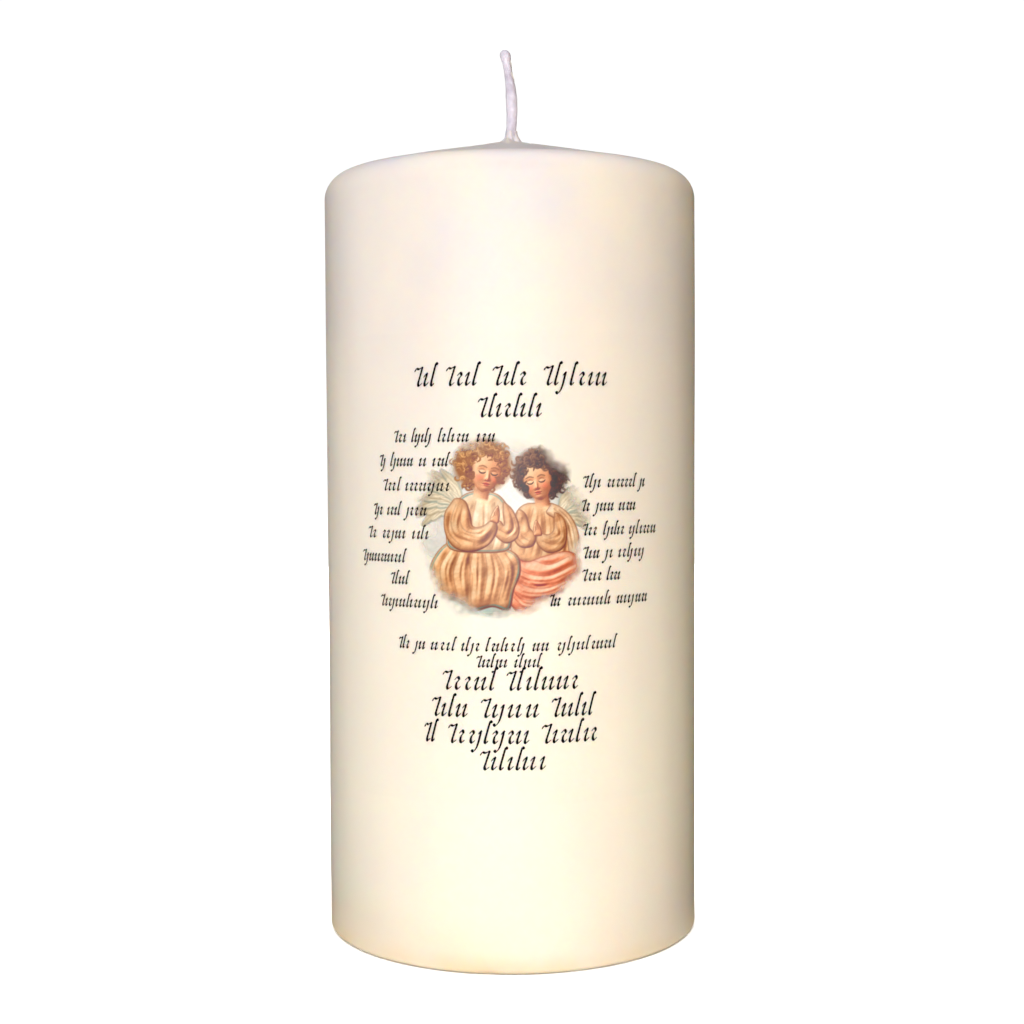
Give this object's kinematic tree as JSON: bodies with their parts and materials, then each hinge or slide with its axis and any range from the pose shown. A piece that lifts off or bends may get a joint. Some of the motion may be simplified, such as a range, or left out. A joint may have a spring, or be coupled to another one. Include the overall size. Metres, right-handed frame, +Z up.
{
  "type": "pillar candle",
  "caption": "Unlit cylindrical wax pillar candle with a shallow cone top, a short plaited wick and a printed transfer on its front.",
  "frame": {"origin": "centre of the flat base, on the surface the candle stands on", "axes": "+Z up along the candle's axis to the wick; the printed front faces -Y; +X is to the right of someone who looks at the front"},
  "size_m": [0.076, 0.0762, 0.1803],
  "materials": {
    "ivory_wax": "satin ivory hard wax",
    "pressed_wax": "matt pressed paraffin wax",
    "cotton": "plaited cotton yarn",
    "priming_wax": "thin translucent wax",
    "tinplate": "bright stamped tinplate",
    "clear_film": "clear satin transfer varnish",
    "picture_ink": "soft many-coloured print",
    "label_paper": "smooth white paper"
  },
  "bodies": {
    "root": {"wax_core": "pressed_wax", "overdip_coat": "ivory_wax", "wick_bundle_a": "cotton", "wick_bundle_b": "cotton", "wick_bundle_c": "cotton", "wick_priming_wax": "priming_wax", "wick_sustainer": "tinplate", "transfer_film": "clear_film", "picture_print": "picture_ink", "base_label": "label_paper"}
  },
  "joints": []
}
